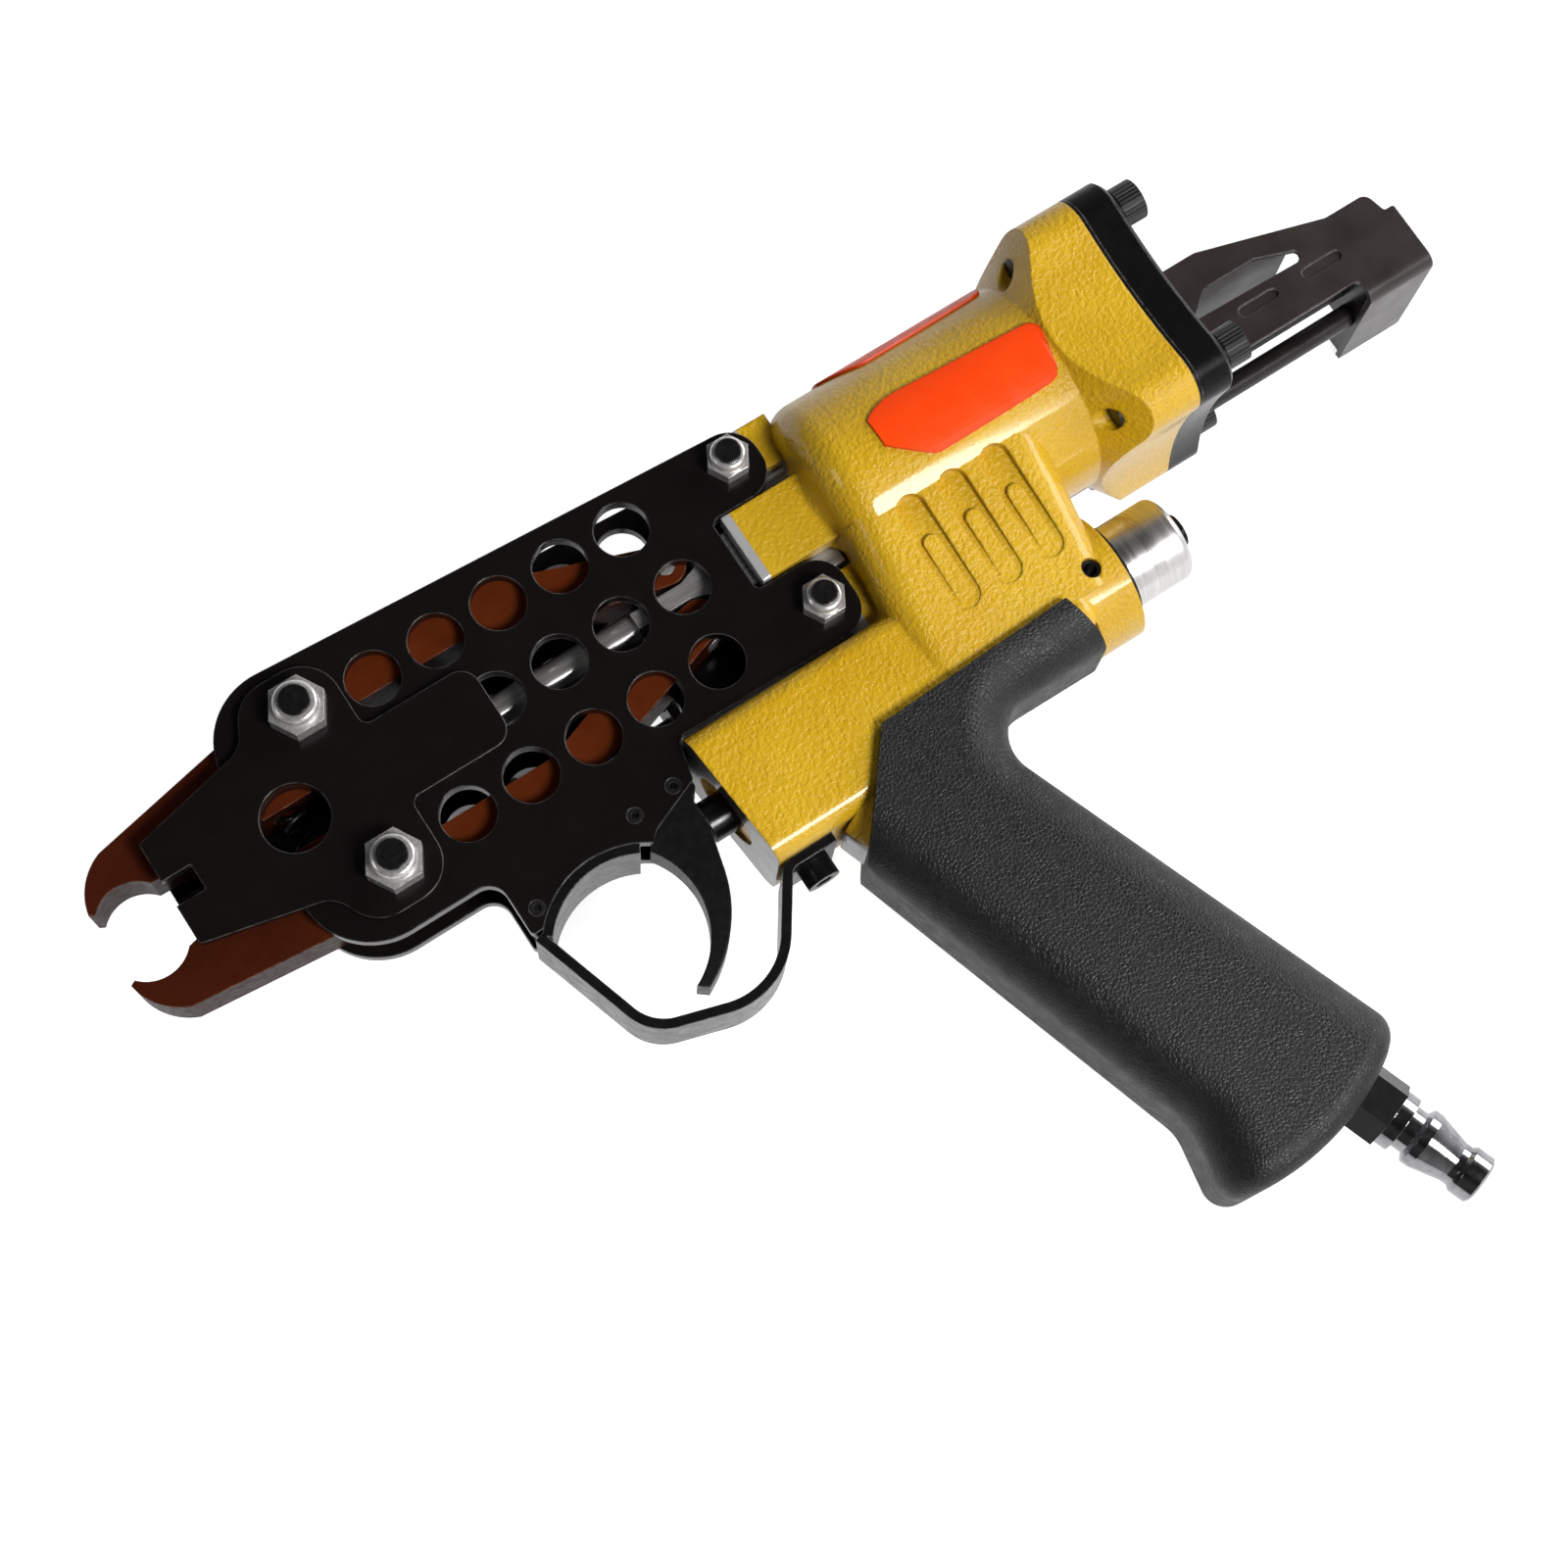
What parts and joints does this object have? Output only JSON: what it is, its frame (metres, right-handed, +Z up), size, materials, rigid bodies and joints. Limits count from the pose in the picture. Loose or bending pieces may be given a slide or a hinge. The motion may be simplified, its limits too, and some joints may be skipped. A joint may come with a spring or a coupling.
{
  "type": "pneumatic hog ring plier",
  "caption": "Air-powered hog ring plier: hooked jaws between pierced side plates, enamelled cylinder housing, rubber pistol grip with trigger, air plug and ring magazine.",
  "frame": {"origin": "middle of the overall box on the bench plane, tool lying on its right side", "axes": "+X back along the tool axis from the jaws to the tail, +Y towards the top of the tool, away from the grip, +Z up from the bench, towards the tool's left side"},
  "size_m": [0.3106, 0.2076, 0.083],
  "materials": {
    "enamel": "hammered mustard yellow enamel, glossy",
    "black_gloss": "gloss black coating",
    "black_sheet": "satin black sheet steel",
    "black_steel": "black oxide",
    "jaw_steel": "brown oxide",
    "steel": "ground steel",
    "nickel": "nickel plated",
    "chrome": "polished chrome",
    "aluminium": "turned aluminium",
    "bronze": "plain bearing bronze",
    "spring_steel": "drawn spring wire",
    "gasket": "black nitrile rubber",
    "grip_rubber": "fine leather grain, satin"
  },
  "bodies": {
    "frame": {"air_plug": "chrome", "bracket_screws": "black_steel", "end_cap": "black_gloss", "end_cap_gasket": "gasket", "end_cap_screws": "black_steel", "end_cap_washers": "spring_steel", "exhaust_cap": "aluminium", "exhaust_collar": "gasket", "exhaust_knob": "black_steel", "exhaust_pin": "steel", "feed_bracket": "black_sheet", "frame_screws": "black_steel", "grip_sleeve": "grip_rubber", "guard_screw": "black_steel", "guide_rod": "black_steel", "inlet_washer": "nickel", "jaw_pivot_bolts": "black_steel", "jaw_pivot_nuts": "nickel", "jaw_spring": "black_steel", "left_nose_plate": "black_gloss", "left_side_plate": "black_gloss", "magazine_frame": "black_sheet", "magazine_rail": "black_steel", "main_housing": "enamel", "piston_return_spring": "spring_steel", "plate_pins": "black_steel", "pusher_spring": "spring_steel", "rail_end_block": "black_steel", "rear_plate_bolts": "black_steel", "rear_plate_nuts": "nickel", "right_nose_plate": "black_gloss", "right_side_plate": "black_gloss", "rod_bush": "bronze", "thin_rod": "black_steel", "trigger_guard": "black_gloss", "trigger_pin": "black_steel", "valve_bush": "bronze", "valve_seat": "gasket", "valve_spring": "spring_steel"},
    "drive": {"drive_wedge": "steel", "piston": "aluminium", "piston_seal": "gasket", "piston_nut": "steel"},
    "upper_jaw": {"upper_jaw": "jaw_steel", "upper_roller_pin": "steel"},
    "lower_jaw": {"lower_jaw": "jaw_steel", "lower_roller_pin": "steel"},
    "upper_roller": {"upper_roller": "steel"},
    "lower_roller": {"lower_roller": "steel"},
    "trigger": {"trigger": "black_gloss"},
    "valve": {"valve_stem": "black_steel"},
    "pusher": {"ring_pusher": "black_steel"}
  },
  "joints": [
    {"name": "drive_stroke", "type": "slide", "parent": "frame", "child": "drive", "axis": [-1, 0, 0], "range_m": [0, 0.024], "stiffness_N_per_m": 600, "springref_m": -0.004, "deforming": ["piston_return_spring"]},
    {"name": "upper_jaw_pivot", "type": "hinge", "parent": "frame", "child": "upper_jaw", "pos_m": [-0.10225, 0.09248, 0.058], "axis": [0, 0, 1], "range_deg": [0, 6.6], "deforming": ["jaw_spring"]},
    {"name": "lower_jaw_pivot", "type": "hinge", "parent": "frame", "child": "lower_jaw", "pos_m": [-0.10225, 0.05748, 0.058], "axis": [0, 0, -1], "range_deg": [0, 6.6], "deforming": ["jaw_spring"]},
    {"name": "upper_roller_spin", "type": "hinge", "parent": "upper_jaw", "child": "upper_roller", "pos_m": [-0.02725, 0.08148, 0.058], "axis": [0, 0, 1], "continuous": true},
    {"name": "lower_roller_spin", "type": "hinge", "parent": "lower_jaw", "child": "lower_roller", "pos_m": [-0.02725, 0.06848, 0.058], "axis": [0, 0, 1], "continuous": true},
    {"name": "trigger_pull", "type": "hinge", "parent": "frame", "child": "trigger", "pos_m": [-0.05015, 0.04258, 0.058], "axis": [0, 0, 1], "range_deg": [0, 12], "stiffness_Nm_per_rad": 0.6, "springref_deg": -5.73},
    {"name": "valve_travel", "type": "slide", "parent": "frame", "child": "valve", "axis": [1, 0, 0], "range_m": [0, 0.00182], "deforming": ["valve_spring"]},
    {"name": "pusher_slide", "type": "slide", "parent": "frame", "child": "pusher", "axis": [1, 0, 0], "range_m": [0, 0.14], "deforming": ["pusher_spring"]}
  ],
  "couplings": [
    {"joint": "upper_jaw_pivot", "follows": "drive_stroke", "rad_per_m": 4.7633},
    {"joint": "lower_jaw_pivot", "follows": "drive_stroke", "rad_per_m": 4.7633},
    {"joint": "valve_travel", "follows": "trigger_pull", "m_per_rad": 0.0085944}
  ]
}
